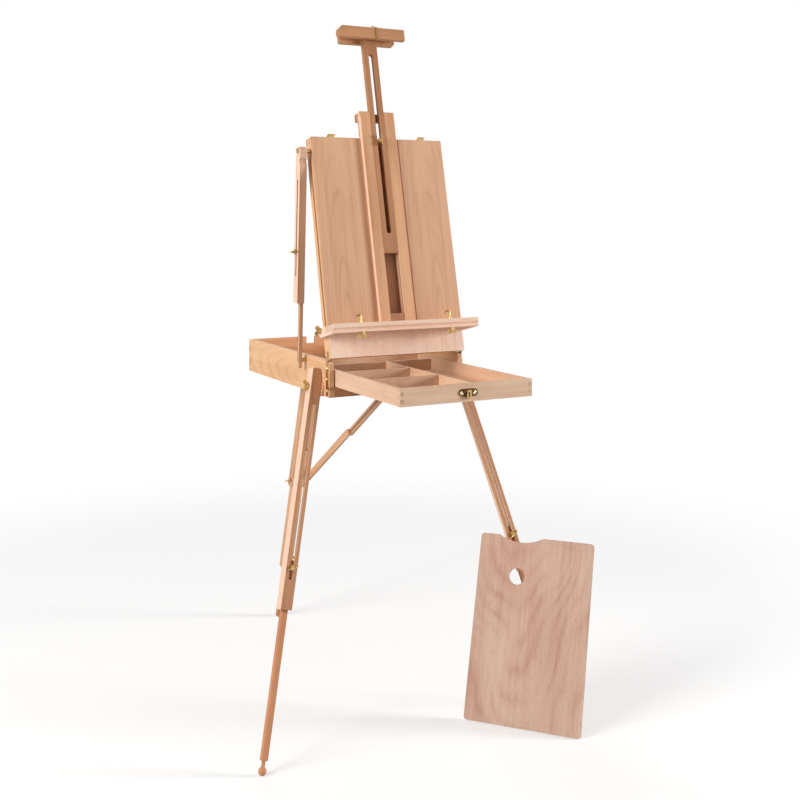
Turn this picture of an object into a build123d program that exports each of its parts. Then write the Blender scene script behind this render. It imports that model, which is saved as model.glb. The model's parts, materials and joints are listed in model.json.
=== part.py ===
from build123d import *
import math
import os

os.makedirs("parts", exist_ok=True)

# Frame while building: x = 0 on the middle plane, y = 0 on the box front, z = 0 under the box bottom.
stand_height = 803.0       # box bottom above the floor

# box
box_width = 372.0
box_length = 560.0
box_height = 89.0
wall = 12.0
floor_ply = 5.0
front_rail_height = 25.0
notch_width = 28.0
notch_depth = 20.0
finger = 17.8

# drawer
drawer_width = 341.0
drawer_length = 540.0
drawer_height = 40.0
drawer_bottom_z = 26.0
drawer_out = 338.0
drawer_wall = 9.0
drawer_ply = 3.6
divider_y = (-10.0, -155.0)
divider_x = 30.0
divider_end = 120.0

# lid
tilt = 13.0
pivot_y = 11.5
lid_gap = 0.3
lid_front = 22.0           # front face above the pivot axis when closed
lid_depth = 36.0
lid_tail = 12.0            # lid end below the pivot
lid_length = 556.0
lid_side_gap = 0.2
stile = 13.0
panel = 6.0
channel_half = 58.0
side_slot = 8.0
side_slot_from = 66.0
side_slot_end = 50.0       # below the lid's top
slot_off = -18.0
catch_x = 129.0
catch_width = 24.0
catch_height = 11.5

# mast
rail_half = 48.5
rail_width = 28.3
rail_back = -10.0
rail_front = 10.0
mast_bottom = 80.0
mast_top = 625.0
slide_width = 40.0
slide_depth = 13.0
slide_bottom = 254.0
slide_top = 848.0
slide_slot = 13.0
slide_slot_low = 57.0
slide_slot_high = 73.0
clamp_length = 189.0
clamp_back_length = 160.0
clamp_back_height = 35.0
clamp_strap_x = 12.0
clamp_strap_width = 5.0

# tray
tray_width = 401.0
tray_front = 61.0
tray_low = 53.5
tray_high = 76.0

# side arm, on the left only
arm_width = 27.0
arm_depth = 19.0
arm_x = 200.0
arm_base_y = 144.0
arm_base_z = 77.0
arm_top_u = 521.0
arm_top_off = -13.0
bar_width = 11.0
bar_depth = 9.0
arm_tail = 20.0            # lower end below its pivot

# front legs
leg_y = 52.0
leg_z = 20.0
leg_splay = 14.0
leg_rake = 12.3
leg_width = 29.0
leg_depth = 27.0
leg_lower_width = 15.0
leg_lower_depth = 12.0
foot_ball = 9.5
leg_slot = 10.0
leg_head = 46.0            # above the pivot
leg_solid_head = 36.0
leg_upper_down = 517.0
leg_slot_from = 41.0
leg_slot_to = 450.0
leg_lower_from = 406.0
leg_screw_at = 423.0
leg_side_wall = 12.0

# rear leg and brace
rear_inset = 15.0
rear_z = -16.0
rear_lean = 18.0
rear_width = 44.0
rear_depth = 28.0
rear_upper_length = 372.0
rear_inner = 30.0
rear_foot_width = 16.0
rear_foot_depth = 18.0
rear_middle_from = 250.0
rear_middle_to = 656.0
rear_foot_from = 545.0
rear_screw_at = 350.0
rear_low_screw_at = 632.0
brace_y = 134.6
brace_z = -14.0
brace_at = 348.5
brace_bar = 8.0
brace_width = 19.0
brace_stand = 8.6          # room beside the leg for its lower wing screw

# palette
palette_width = 294.0
palette_height = 448.0
palette_ply = 4.2
thumb_radius = 20.0
palette_corner = (135.1, -92.6)
palette_turn = -49.86

# fits
run = 0.06                 # radial clearance of a turning pin
slip = 0.2                 # gap beside a sliding piece
clear = 0.3
bolt = 2.5

rear_y = box_length - rear_inset
lid_zero_z = box_height + lid_depth - lid_front + lid_gap
pivot = (pivot_y, lid_zero_z)
lid_half = box_width / 2 - lid_side_gap
ct, st = math.cos(math.radians(tilt)), math.sin(math.radians(tilt))
u_dir = (0, st, ct)
n_dir = (0, -ct, st)
lid_origin = (0, pivot[0] + lid_front * n_dir[1] - lid_tail * u_dir[1],
              pivot[1] + lid_front * n_dir[2] - lid_tail * u_dir[2])
# lid space: local x = x, local y = up the lid (u), local z = out of the front face
lid_place = Location(Plane(origin=lid_origin, x_dir=(1, 0, 0), z_dir=n_dir))
parts = {}


def lid_point(u, off, x=0.0):
    return (x, lid_origin[1] + u * u_dir[1] + off * n_dir[1],
            lid_origin[2] + u * u_dir[2] + off * n_dir[2])


def block(x0, x1, y0, y1, z0, z1):
    return Pos((x0 + x1) / 2, (y0 + y1) / 2, (z0 + z1) / 2) * Box(abs(x1 - x0), abs(y1 - y0), abs(z1 - z0))


def rod(p, d, radius, length):
    return Location(Plane(origin=p, z_dir=d)) * (Pos(0, 0, length / 2) * Cylinder(radius, length))


def slab(points, z0, z1):
    return extrude(Pos(0, 0, z0) * make_face(Polyline(*[(a, b) for a, b in points], close=True)), z1 - z0)


def profile(plane, points, length):
    """Extrude a closed outline drawn on a plane along its normal."""
    return extrude(plane * make_face(Polyline(*points, close=True)), length)


def soften(piece, size, axis=None):
    edges = piece.edges() if axis is None else piece.edges().filter_by(axis)
    return chamfer(edges, size)


def keep(name, *pieces):
    solids = []
    for piece in pieces:
        solids += list(piece.solids())
    parts[name] = solids


def mirror_x(piece):
    return mirror(piece, about=Plane.YZ)


def slot_cut(x0, x1, y0, y1, width, along):
    """A slot with round ends through x0..x1, running from y0 to y1 along local y."""
    body = block(x0, x1, y0 + width / 2, y1 - width / 2, along - width / 2, along + width / 2)
    for end in (y0 + width / 2, y1 - width / 2):
        body += Pos((x0 + x1) / 2, end, along) * Rot(0, 90, 0) * Cylinder(width / 2, x1 - x0)
    return body


def wing_nut(p, d, span=14.0, turn=0.0, hole=bolt, through=True):
    """Butterfly nut sitting at p with its axis along d."""
    boss = Pos(0, 0, 3.5) * Cylinder(5.6, 7.0)
    collar = Pos(0, 0, 0.8) * Cylinder(7.0, 1.6)
    nut = boss + collar
    for side in (-1, 1):
        wing = Pos(side * (span - 5.5), 0, 9.0) * Rot(90, 0, 0) * Cylinder(5.5, 2.4)
        web = Pos(side * (span - 5.5) / 2, 0, 5.6) * Box(span - 5.5, 2.4, 7.0)
        nut += wing + web
    if through:
        nut -= Pos(0, 0, 10) * Cylinder(hole + run, 30)
    return Location(Plane(origin=p, z_dir=d)) * Rot(0, 0, turn) * nut


def wing_screw(p, d, inside, span=14.0, turn=0.0, stem=0.0):
    """Wing head at p, its shaft running back by inside; stem is how far the shaft shows in front."""
    shaft_length = inside + 7.0 + stem
    shaft = Pos(0, 0, (7.0 + stem - inside) / 2) * Cylinder(bolt, shaft_length)
    screw = wing_nut((0, 0, 0), (0, 0, 1), span, 0, through=False) + shaft
    return Location(Plane(origin=p, z_dir=d)) * Rot(0, 0, turn) * screw


def fingers(piece, x0, x1, y0, y1, height, start, count_from):
    """Cut every second finger from a board end."""
    z = start
    k = count_from
    while z < height - 0.01:
        top = min(z + finger, height)
        if k % 2:
            piece -= block(x0, x1, y0, y1, z, top)
        z, k = top, k + 1
    return piece


# box
half = box_width / 2
inner = half - wall
side_wall = block(inner, half, 0, box_length, 0, box_height)
side_wall -= block(inner - 1, half + 1, -1, 16, box_height - 16, box_height + 1) - \
    Pos(half - wall / 2, 16, box_height - 16) * Rot(0, 90, 0) * Cylinder(16, wall + 4)
side_wall = fingers(side_wall, inner - 1, half + 1, box_length - wall, box_length + 1, box_height, 0, 0)
side_wall = fingers(side_wall, inner - 1, half + 1, -1, wall, front_rail_height, 0, 0)
groove_z = 8.0
side_wall -= block(inner - 1, inner + 4.2, wall - 4.2, box_length - wall + 4.2, groove_z - slip / 2,
                   groove_z + floor_ply + slip / 2)

back = block(-half, half, box_length - wall, box_length, 0, box_height)
for side in (-1, 1):
    a, b = sorted((side * (inner - 0.0), side * (half + 1)))
    back = fingers(back, a, b, box_length - wall - 1, box_length + 1, box_height, 0, 1)
back -= block(-notch_width / 2, notch_width / 2, box_length - wall - 1, box_length + 1,
              box_height - notch_depth, box_height + 1)
back -= block(-inner - 4.2, inner + 4.2, box_length - wall - 1, box_length - wall + 4.2, groove_z - slip / 2,
              groove_z + floor_ply + slip / 2)

front_rail = block(-half, half, 0, wall, 0, front_rail_height)
for side in (-1, 1):
    a, b = sorted((side * inner, side * (half + 1)))
    front_rail = fingers(front_rail, a, b, -1, wall + 1, front_rail_height, 0, 1)
front_rail -= block(-inner - 4.2, inner + 4.2, wall - 4.2, wall + 1, groove_z - slip / 2,
                    groove_z + floor_ply + slip / 2)
bottom = block(-inner - 4, inner + 4, wall - 4, box_length - wall + 4, groove_z, groove_z + floor_ply)

keep("box_front_rail", front_rail)
runner_top = drawer_bottom_z - 0.3
runner = block(inner - 14, inner, wall, box_length - wall, groove_z + floor_ply + slip / 2, runner_top)
keep("drawer_runners", runner, mirror_x(runner))

# leg frames: z along the pivot axis e (outwards), y up the leg, x across
leg_frames = {}
leg_offset = leg_width / 2 + clear
wedge_top = leg_z + leg_depth / 2 * math.cos(math.radians(leg_splay)) + 0.6
for name, side in (("left", -1), ("right", 1)):
    a = math.radians(leg_splay)
    e = (side * math.cos(a), 0, math.sin(a))
    plane_c = half * math.cos(a) + wedge_top * math.sin(a)
    x_mid = (plane_c + leg_offset - leg_z * math.sin(a)) / math.cos(a)
    r = math.radians(leg_rake)
    down = (side * math.sin(a) * math.cos(r), -math.sin(r), -math.cos(a) * math.cos(r))
    up = tuple(-v for v in down)
    leg_frames[name] = dict(e=e, up=up, pivot=(side * x_mid, leg_y, leg_z), side=side)
leg_drop = (stand_height + leg_z)
leg_len = leg_drop / (math.cos(math.radians(leg_splay)) * math.cos(math.radians(leg_rake)))

wedge_y0, wedge_y1 = leg_y - 20, leg_y + 20
a = math.radians(leg_splay)
wedge_low = wedge_top * math.tan(a)
wedge = profile(Plane(origin=(0, wedge_y0, 0), x_dir=(1, 0, 0), z_dir=(0, 1, 0)),
                [(half, 0), (half, -(wedge_top - 2)), (half + 2 * math.tan(a), -(wedge_top - 2)), (half + wedge_low, 0)],
                wedge_y1 - wedge_y0)
leg_bore = []
for name, f in leg_frames.items():
    e, p = f["e"], f["pivot"]
    sunk = (abs(p[0]) - inner - 5.0) / abs(e[0])
    f["sunk"] = sunk
    start = tuple(p[i] - e[i] * sunk for i in range(3))
    f["bore"] = rod(start, e, bolt, 90)

left_wall = mirror_x(side_wall)
arm_hole = rod((-half - 20, arm_base_y, arm_base_z), (1, 0, 0), bolt, 60)
shaft_l = leg_frames["left"]["bore"]
shaft_r = leg_frames["right"]["bore"]
strap_x = 2.0
screw_z = (15.6, 44.0, 70.0)
strap_holes = None
for z in screw_z:
    hole = rod((-half - 10, pivot_y, z), (1, 0, 0), 2.0, box_width + 20)
    strap_holes = hole if strap_holes is None else strap_holes + hole
right_wall = side_wall - shaft_r - strap_holes
left_wall = left_wall - shaft_l - arm_hole - strap_holes
keep("box_left_side", left_wall)
keep("box_right_side", right_wall)

# underside blocks
rear_gap = clear
cheek_w = 13.0
rear_cheeks = []
rear_axis = rod((-60, rear_y, rear_z), (1, 0, 0), 3.0, 120)
for side in (-1, 1):
    x0 = side * (rear_width / 2 + rear_gap)
    x1 = side * (rear_width / 2 + rear_gap + cheek_w)
    x0, x1 = sorted((x0, x1))
    c = block(x0, x1, rear_y - 17, box_length - 0.5, rear_z - 12, 0)
    c = soften(c, 2.5, Axis.X)
    rear_cheeks.append(c - rear_axis)
brace_x0 = rear_width / 2 + rear_gap + brace_stand
brace_x1 = brace_x0 + brace_bar
brace_x2 = brace_x1 + clear
brace_x3 = brace_x2 + brace_bar
brace_pin = rod((brace_x2 + 1.0, brace_y, brace_z), (1, 0, 0), 2.5, 24)
brace_cheek = block(brace_x3 + clear, brace_x3 + clear + 11, brace_y - 16, brace_y + 16, brace_z - 9, 0)
brace_cheek = soften(brace_cheek, 2.5, Axis.X) - brace_pin
keep("mounting_blocks", wedge - shaft_r, mirror_x(wedge) - shaft_l, rear_cheeks[0], rear_cheeks[1], brace_cheek)
keep("box_back", back)
keep("box_bottom", bottom)

# hinge straps, their screws and the lid pivots
strap_top = pivot[1] + 7.5
strap = block(half, half + strap_x, pivot_y - 6, pivot_y + 6, 3, strap_top)
strap = soften(strap, 1.8, Axis.X)
strap -= strap_holes
strap -= rod((half - 5, pivot[0], pivot[1]), (1, 0, 0), 2.5, 20)
screws = []
for z in screw_z:
    s = rod((half - 9, pivot_y, z), (1, 0, 0), 2.0, 9 + strap_x)
    s += rod((half + strap_x, pivot_y, z), (1, 0, 0), 3.6, 1.0)
    screws.append(s)
pin = rod((half - 10, pivot[0], pivot[1]), (1, 0, 0), 2.5, 10 + strap_x)
pin += rod((half + strap_x, pivot[0], pivot[1]), (1, 0, 0), 4.5, 1.4)
hardware = [strap, pin] + screws
keep("hinge_straps", *hardware, *[mirror_x(h) for h in hardware])

# bolts fixed in the box
box_bolts = []
nut_reach = 12.0
for name, f in leg_frames.items():
    e, p = f["e"], f["pivot"]
    inside = tuple(p[i] - e[i] * f["sunk"] for i in range(3))
    body = rod(inside, e, bolt, f["sunk"] + leg_width / 2 + nut_reach)
    box_bolts.append(body)
arm_bar_x0 = arm_x - 1.0
spacer_end = arm_bar_x0 - 0.2
arm_bar_x1 = arm_bar_x0 + bar_depth
ring = rod((-half, arm_base_y, arm_base_z), (-1, 0, 0), bar_width / 2, spacer_end - half)
ring += rod((10 - half, arm_base_y, arm_base_z), (-1, 0, 0), bolt, arm_bar_x1 - 1.4 - half + 10)
ring += rod((2.4 - arm_bar_x1, arm_base_y, arm_base_z), (-1, 0, 0), 4.0, 2.2)
box_bolts.append(ring)
box_bolts.append(rod((-rear_width / 2 - rear_gap - cheek_w - 1, rear_y, rear_z), (1, 0, 0), 3.0,
                     rear_width + 2 * rear_gap + 2 * cheek_w + 2))
box_bolts.append(rod((brace_x2 + 1.0, brace_y, brace_z), (1, 0, 0), 2.5, 20))
keep("box_bolts", *box_bolts)

# carry handle on the right side
handle_y0, handle_y1 = 262.0, 402.0
handle_z = 46.0
arc_h = Plane(origin=(0, 0, handle_z - 9), x_dir=(1, 0, 0), z_dir=(0, 0, 1))
y_m = (handle_y0 + handle_y1) / 2
outer = Polyline((half, handle_y0), (half + 3.5, handle_y0), (half + 3.5, handle_y0 + 15),
                 (half + 17, handle_y0 + 40), (half + 21, y_m), (half + 17, handle_y1 - 40),
                 (half + 3.5, handle_y1 - 15), (half + 3.5, handle_y1), (half, handle_y1),
                 (half, handle_y1 - 17), (half + 13.4, handle_y1 - 42), (half + 17.2, y_m),
                 (half + 13.4, handle_y0 + 42), (half, handle_y0 + 17), close=True)
handle = extrude(arc_h * make_face(outer), 18)
mounts = []
for y in (handle_y0 + 7, handle_y1 - 7):
    hole = rod((half - 8, y, handle_z), (1, 0, 0), 2.0, 30)
    handle -= hole
    plate = block(half + 3.5, half + 5.1, y - 6.5, y + 6.5, handle_z - 12, handle_z + 12)
    plate -= hole
    rivet = rod((half, y, handle_z), (1, 0, 0), 2.0, 5.1) + rod((half + 5.1, y, handle_z), (1, 0, 0), 3.6, 1.2)
    mounts += [plate, rivet]
keep("handle_strap", handle)
keep("handle_mounts", *mounts)

# drawer
dh = drawer_width / 2
d0 = -drawer_out
d1 = d0 + drawer_length
dz0, dz1 = drawer_bottom_z, drawer_bottom_z + drawer_height
lug = drawer_height / 5
front = block(-dh, dh, d0, d0 + 12, dz0, dz1)
dside = block(dh - drawer_wall, dh, d0, d1, dz0, dz1)
for k in range(5):
    if k % 2 == 0:
        dside -= block(dh - drawer_wall - 1, dh + 1, d0 - 1, d0 + 12, dz0 + k * lug, dz0 + (k + 1) * lug)
    else:
        for side in (-1, 1):
            a, b = sorted((side * (dh - drawer_wall), side * (dh + 1)))
            front -= block(a, b, d0 - 1, d0 + 13, dz0 + k * lug, dz0 + (k + 1) * lug)
rebate = 2.0
ply_z = dz0 + 4.0
tongue = 3.0
dside -= block(dh - drawer_wall - 1, dh - drawer_wall + tongue + 0.1, d0 + 12 - tongue, d1 + 1, ply_z - 0.1,
               ply_z + drawer_ply + 0.1)
front -= block(-dh + drawer_wall - tongue, dh - drawer_wall + tongue, d0 + 12 - tongue, d0 + 13, ply_z - 0.1,
               ply_z + drawer_ply + 0.1)
back_z = dz1 + 3.0
dback = block(-dh + drawer_wall, dh - drawer_wall, d1 - 9, d1, ply_z + drawer_ply + 0.1, back_z)
dback -= Pos(-dh + drawer_wall, d1 - 4, back_z + 10) * Rot(90, 0, 0) * Cylinder(16, 12)
dply = block(-dh + drawer_wall - tongue, dh - drawer_wall + tongue, d0 + 12 - tongue + 0.1, d1, ply_z,
             ply_z + drawer_ply)
cell_z = ply_z + drawer_ply
div_x = divider_x
div_t = 5.0
div_end = divider_end
in0, in1 = -dh + drawer_wall, dh - drawer_wall
div_top = dz1 - 4
long_div = block(div_x - div_t / 2, div_x + div_t / 2, d0 + 12, div_end, cell_z, div_top)
cross_1, cross_2 = (block(in0, div_x - div_t / 2, y - div_t / 2, y + div_t / 2, cell_z, div_top) for y in divider_y)
cross_3 = block(in0, in1, div_end, div_end + div_t, cell_z, div_top)
latch_z = (dz0 + dz1) / 2
latch_holes = None
for x in (-21, 21):
    for z in (-5, 5):
        h = rod((x, d0 - 2.5, latch_z + z), (0, 1, 0), 0.9, 8.5)
        latch_holes = h if latch_holes is None else latch_holes + h
front -= latch_holes
latch_plate = soften(block(-25, 25, d0 - 1.4, d0, latch_z - 9, latch_z + 9), 2.5, Axis.Y) - latch_holes
ears = None
for side in (-1, 1):
    ear = rod((side * 9.6, d0 - 4.6, latch_z + 3.5), (side, 0, 0), 3.0, 3.0)
    ear += block(side * 9.6, side * 12.6, d0 - 4.6, d0 - 1.4, latch_z + 0.5, latch_z + 6.5)
    latch_plate += ear
hook_axis = (d0 - 4.6, latch_z + 3.5)
latch_plate -= rod((-15, hook_axis[0], hook_axis[1]), (1, 0, 0), 1.2, 30)
tacks = []
for x in (-21, 21):
    for z in (-5, 5):
        tacks.append(rod((x, d0 - 1.4, latch_z + z), (0, 1, 0), 0.9, 7.0) +
                     rod((x, d0 - 2.2, latch_z + z), (0, 1, 0), 1.7, 0.8))
hook_pin = rod((-13, hook_axis[0], hook_axis[1]), (1, 0, 0), 1.2, 26)
hook = rod((-9.3, hook_axis[0], hook_axis[1]), (1, 0, 0), 3.0, 18.6)
hook += block(-9.3, 9.3, hook_axis[0] - 1.3, hook_axis[0] + 1.1, latch_z - 11, hook_axis[1] - 1)
hook += rod((-9.3, hook_axis[0] - 0.5, latch_z - 11), (1, 0, 0), 2.2, 18.6)
hook -= rod((-15, hook_axis[0], hook_axis[1]), (1, 0, 0), 1.2 + run, 30)
keep("drawer_front", front)
keep("drawer_sides", dside, mirror_x(dside))
keep("drawer_back", dback)
keep("drawer_bottom", dply)
keep("drawer_dividers", long_div, cross_1, cross_2, cross_3)
keep("latch_plate", latch_plate, hook_pin, *tacks)
keep("latch_hook", hook)

# lid, drawn flat in lid space
rail_h = 18.0
low_panel = 78.0
tail_round = lid_depth - lid_front - 0.6
lug_l = (lid_depth - panel) / 4
lid_stile = block(lid_half - stile, lid_half, 0, lid_length, -lid_depth, -panel)
lid_stile -= block(lid_half - stile - 1, lid_half + 1, -1, tail_round, -lid_depth - 1, -lid_depth + tail_round) - \
    Pos(lid_half - stile / 2, tail_round, -lid_depth + tail_round) * Rot(0, 90, 0) * Cylinder(tail_round, stile + 4)
lid_stile -= slot_cut(lid_half - stile - 1, lid_half + 1, side_slot_from, lid_length - side_slot_end, side_slot, slot_off)
top_rail = block(-lid_half, lid_half, lid_length - rail_h, lid_length, -lid_depth, -panel)
for k in range(4):
    z0, z1 = -lid_depth + k * lug_l, -lid_depth + (k + 1) * lug_l
    if k % 2 == 0:
        lid_stile -= block(lid_half - stile - 1, lid_half + 1, lid_length - rail_h, lid_length + 1, z0, z1)
    else:
        for side in (-1, 1):
            a, b = sorted((side * (lid_half - stile), side * (lid_half + 1)))
            top_rail -= block(a, b, lid_length - rail_h - 1, lid_length + 1, z0, z1)
low_rail = block(-lid_half + stile, lid_half - stile, 0, rail_h, -lid_depth, -panel)
low_rail -= block(-lid_half, lid_half, -1, tail_round, -lid_depth - 1, -lid_depth + tail_round) - \
    Pos(0, tail_round, -lid_depth + tail_round) * Rot(0, 90, 0) * Cylinder(tail_round, box_width)
channel_floor = rail_back - clear
top_rail -= block(-rail_half - slip, rail_half + slip, lid_length - rail_h - 1, lid_length + 1, channel_floor, 1)
lid_pin = Pos(0, lid_tail, -lid_front) * Rot(0, 90, 0) * Cylinder(2.5 + run, box_width + 20)
pin_hole = lid_pin & (block(-half - 1, -half + 10.4, -1, 60, -lid_depth, 1) +
                      block(half - 10.4, half + 1, -1, 60, -lid_depth, 1))
lid_stile -= pin_hole
knob_u = lid_length - rail_h / 2
mast_shaft = Pos(0, knob_u, (channel_floor - 14)) * Cylinder(3.0 + run, 60)
top_rail -= mast_shaft
upper_panel = block(channel_half, lid_half, low_panel + 0.4, lid_length, -panel, 0)
lower_panel = block(-lid_half, lid_half, 0, low_panel, -panel, 0)
guide_low = low_panel
guide = block(rail_half + slip, channel_half + 10, rail_h, lid_length - rail_h, -22, -panel)
guide += block(rail_half + slip, channel_half, guide_low, lid_length, -panel, -1.5)
guide += block(rail_half - 3.4, rail_half + slip, guide_low, lid_length - rail_h, -7.0, -4.0)
channel_back = block(-channel_half - 10, channel_half + 10, rail_h, lid_length - rail_h, -26, -22)
catch_plates = []
for x in (-catch_x, catch_x):
    x0, x1 = x - catch_width / 2, x + catch_width / 2
    base_u, top_u = lid_length + 1.4, lid_length + catch_height
    cp = block(x0, x1, lid_length, base_u, slot_off - 9, slot_off + 9)
    cp += slab([(x0, base_u), (x0 + 7, top_u), (x1 + 5, top_u), (x1 - 3, base_u)], slot_off + 5, slot_off + 7)
    cp += Pos(x + 5, top_u - 1.8, slot_off + 6) * Rot(0, 90, 0) * Cylinder(1.8, catch_width - 6)
    catch_plates.append(cp)
lid = {
    "lid_right_stile": [lid_stile], "lid_left_stile": [mirror_x(lid_stile)],
    "lid_cross_rails": [top_rail, low_rail],
    "lid_upper_panels": [upper_panel, mirror_x(upper_panel)],
    "lid_lower_panel": [lower_panel],
    "mast_channel": [guide, mirror_x(guide), channel_back],
    "lid_catches": catch_plates,
}

# mast
rail_in = rail_half - rail_width
rail = block(rail_in, rail_half, mast_bottom, mast_top, rail_back, rail_front)
rail -= block(rail_half - 3.6, rail_half + 1, mast_bottom - 1, mast_top + 1, -7.0 - slip, -4.0 + slip)
rail -= block(rail_in - 1, rail_in + 4.0, mast_bottom - 1, mast_top + 1, 1.0, 6.0)
left_rail = mirror_x(rail)
left_rail += block(-rail_half - 2.2, -rail_half, mast_top - 12, mast_top, 2.0, rail_front)
mast_lock = lid_length + 48
top_block = block(-rail_half, rail_half, mast_lock, mast_top - 0.5, -24, rail_back)
low_block = block(-rail_in, rail_in, mast_bottom, mast_bottom + 22, rail_back, 8)
lid["mast_rails"] = [rail, left_rail]
lid["mast_cross_blocks"] = [top_block, low_block]

# inner slide and its clamp
sw = slide_width / 2
slide = block(-sw, sw, slide_bottom, slide_top, rail_front - slide_depth, rail_front)
for side in (-1, 1):
    a, b = sorted((side * sw, side * (sw + 3.8)))
    slide += block(a, b, slide_bottom, mast_top - 20, 1.2, 5.8)
slot_u = (slide_bottom + slide_slot_low, slide_top - slide_slot_high)
slot = block(-slide_slot / 2, slide_slot / 2, slot_u[0], slot_u[1], -20, 20)
for u in slot_u:
    slot += Pos(0, u, 0) * Cylinder(slide_slot / 2, 40)
slide -= slot
ch = clamp_length / 2
front_bar = block(-ch, ch, slide_top - 30, slide_top, rail_front, rail_front + 22)
front_bar -= Pos(-ch, slide_top, rail_front + 11) * Rot(0, 0, 45) * Box(13, 13, 30)
front_bar -= block(-ch - 1, ch + 1, slide_top - 31, slide_top - 24, rail_front - 1, rail_front + 8)
cb = clamp_back_length / 2
back_low = slide_top - clamp_back_height
back_bar = block(-cb, cb, back_low, slide_top, rail_front - slide_depth - 13, rail_front - slide_depth)
back_bar -= Pos(cb, back_low, 0) * Rot(0, 0, 45) * Box(9, 9, 80)
strap_0, strap_1 = clamp_strap_x - clamp_strap_width / 2, clamp_strap_x + clamp_strap_width / 2
strap_c = block(strap_0, strap_1, slide_top - 34, slide_top, rail_front + 22, rail_front + 23.5)
strap_c += block(strap_0, strap_1, slide_top, slide_top + 1.6, rail_front - slide_depth, rail_front + 23.5)
stud_at = Pos(clamp_strap_x, slide_top, rail_front + 4)
stud = stud_at * Pos(0, 2.6, 0) * Rot(90, 0, 0) * Cylinder(3.0, 2.4)
ring = stud_at * Pos(0, 7.2, 0) * Torus(4.0, 1.3)
lid["mast_slide"] = [slide]
lid["clamp_front_bar"] = [front_bar]
lid["clamp_back_bar"] = [back_bar]
lid["clamp_strap"] = [strap_c, stud + ring]

# tray
tw = tray_width / 2
cheek_in = half + 0.3
tray_section = [(rail_front + 1, tray_high), (tray_front, tray_high), (tray_front, tray_high - 10.5),
                (tray_front - 3.5, tray_high - 12.5), (tray_front - 5.5, tray_high - 15.5),
                (tray_front - 3.5, tray_high - 18.5), (tray_front, tray_high - 19.5), (tray_front, tray_low),
                (tray_front - 14, tray_low), (tray_front - 14, tray_high - 12.5), (rail_front + 1, tray_high - 12.5)]
ledge = extrude(Plane(origin=(-tw, 0, 0), x_dir=(0, 0, 1), z_dir=(-1, 0, 0)) *
                make_face(Polyline(*[(o, u) for o, u in tray_section], close=True)), -tray_width)
cheek = block(cheek_in, tw, tray_low, tray_high - 12.7, slot_off - 9, tray_front - 14.2)
cheek += block(cheek_in, tw, tray_high - 12.7, tray_high, slot_off - 9, rail_front + 0.8)
tray_bolt_u = (tray_low + tray_high) / 2 + 6
tray_bolt_at = Pos(0, tray_bolt_u, slot_off)
cheek = cheek - tray_bolt_at * Rot(0, 90, 0) * Cylinder(bolt, 500)
bolts = []
for side in (-1, 1):
    b = tray_bolt_at * Pos(side * ((lid_half - stile - 3 + tw + 11) / 2), 0, 0) * Rot(0, 90, 0) * \
        Cylinder(bolt, tw + 11 - (lid_half - stile - 3))
    b += tray_bolt_at * Pos(side * (lid_half - stile - 2), 0, 0) * Rot(0, 90, 0) * Cylinder(6.0, 3.0)
    bolts.append(b)
clips = {}
clip_off = tray_front - 8
for name, x in (("left", -123.0), ("right", 123.0)):
    ledge -= Pos(x, tray_high, clip_off) * Rot(90, 0, 0) * Cylinder(2.0 + run, 80)
    pin_c = Pos(x, (tray_low - 13 + tray_high + 22) / 2, clip_off) * Rot(90, 0, 0) * \
        Cylinder(2.0, tray_high + 22 - tray_low + 13)
    head = block(x - 4, x + 4, tray_high + 19.5, tray_high + 22, clip_off - 14, clip_off + 3)
    head += block(x - 4, x + 4, tray_high + 14, tray_high + 22, clip_off - 16, clip_off - 14)
    collar = Pos(x, tray_high + 1.2, clip_off) * Rot(90, 0, 0) * Cylinder(4.2, 2.4)
    nut_local = Pos(x, tray_low - 0.3, clip_off) * Rot(90, 0, 0) * wing_nut((0, 0, 0), (0, 0, 1), 12.0, 25, 2.0)
    clips[name] = [pin_c + head + collar, nut_local]
lid["tray_ledge"] = [ledge]
lid["tray_cheeks"] = [cheek, mirror_x(cheek)]
lid["tray_bolts"] = bolts
lid["left_canvas_clip"] = clips["left"]
lid["right_canvas_clip"] = clips["right"]
nuts = []
for side in (-1, 1):
    nuts.append(wing_nut((side * (tw + 0.2), tray_bolt_u, slot_off), (side, 0, 0), 13.0, 60))
lid["tray_wing_nuts"] = nuts
lid["mast_knob"] = [wing_screw((0, knob_u, rail_front + 0.2), (0, 0, 1), rail_front + 0.2 + 24, 14.0, 90)]
for name, pieces in lid.items():
    keep(name, *[lid_place * p for p in pieces])

# side arm, a flat bar sliding in a grooved channel
arm_top = lid_point(arm_top_u, arm_top_off)
dy, dz = arm_top[1] - arm_base_y, arm_top[2] - arm_base_z
arm_open = math.hypot(dy, dz)
arm_angle = math.atan2(dz, dy)
arm_dir = (0, math.cos(arm_angle), math.sin(arm_angle))
channel_low, channel_high = 144.0, arm_open + 10
clamp_at = 274.0
place = Location(Plane(origin=(0, arm_base_y, arm_base_z), x_dir=(1, 0, 0), z_dir=(0, -arm_dir[2], arm_dir[1])))
across = Rot(0, 90, 0)
bar = block(-arm_bar_x1, -arm_bar_x0, -arm_tail, clamp_at + 16, -bar_width / 2, bar_width / 2)
bar -= across * Cylinder(bolt + run, 600)
bar -= Pos(1.1 - arm_bar_x1, 0, 0) * across * Cylinder(4.0 + run + 0.04, 2.8)
bar -= Pos(0, clamp_at, 0) * across * Cylinder(bolt, 600)
arm_end = channel_high - arm_width / 2
arm = block(-arm_x - arm_depth, -arm_x, channel_low, arm_end, -arm_width / 2, arm_width / 2)
arm += Pos(-arm_x - arm_depth / 2, arm_end, 0) * across * Cylinder(arm_width / 2, arm_depth)
arm -= block(-arm_bar_x1 - slip, 1 - arm_x, channel_low - 1, arm_open - 66, -bar_width / 2 - slip, bar_width / 2 + slip)
arm -= slot_cut(-arm_x - arm_depth - 1, -arm_x, clamp_at - 64, clamp_at + 178, 6.4, 0)
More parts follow.
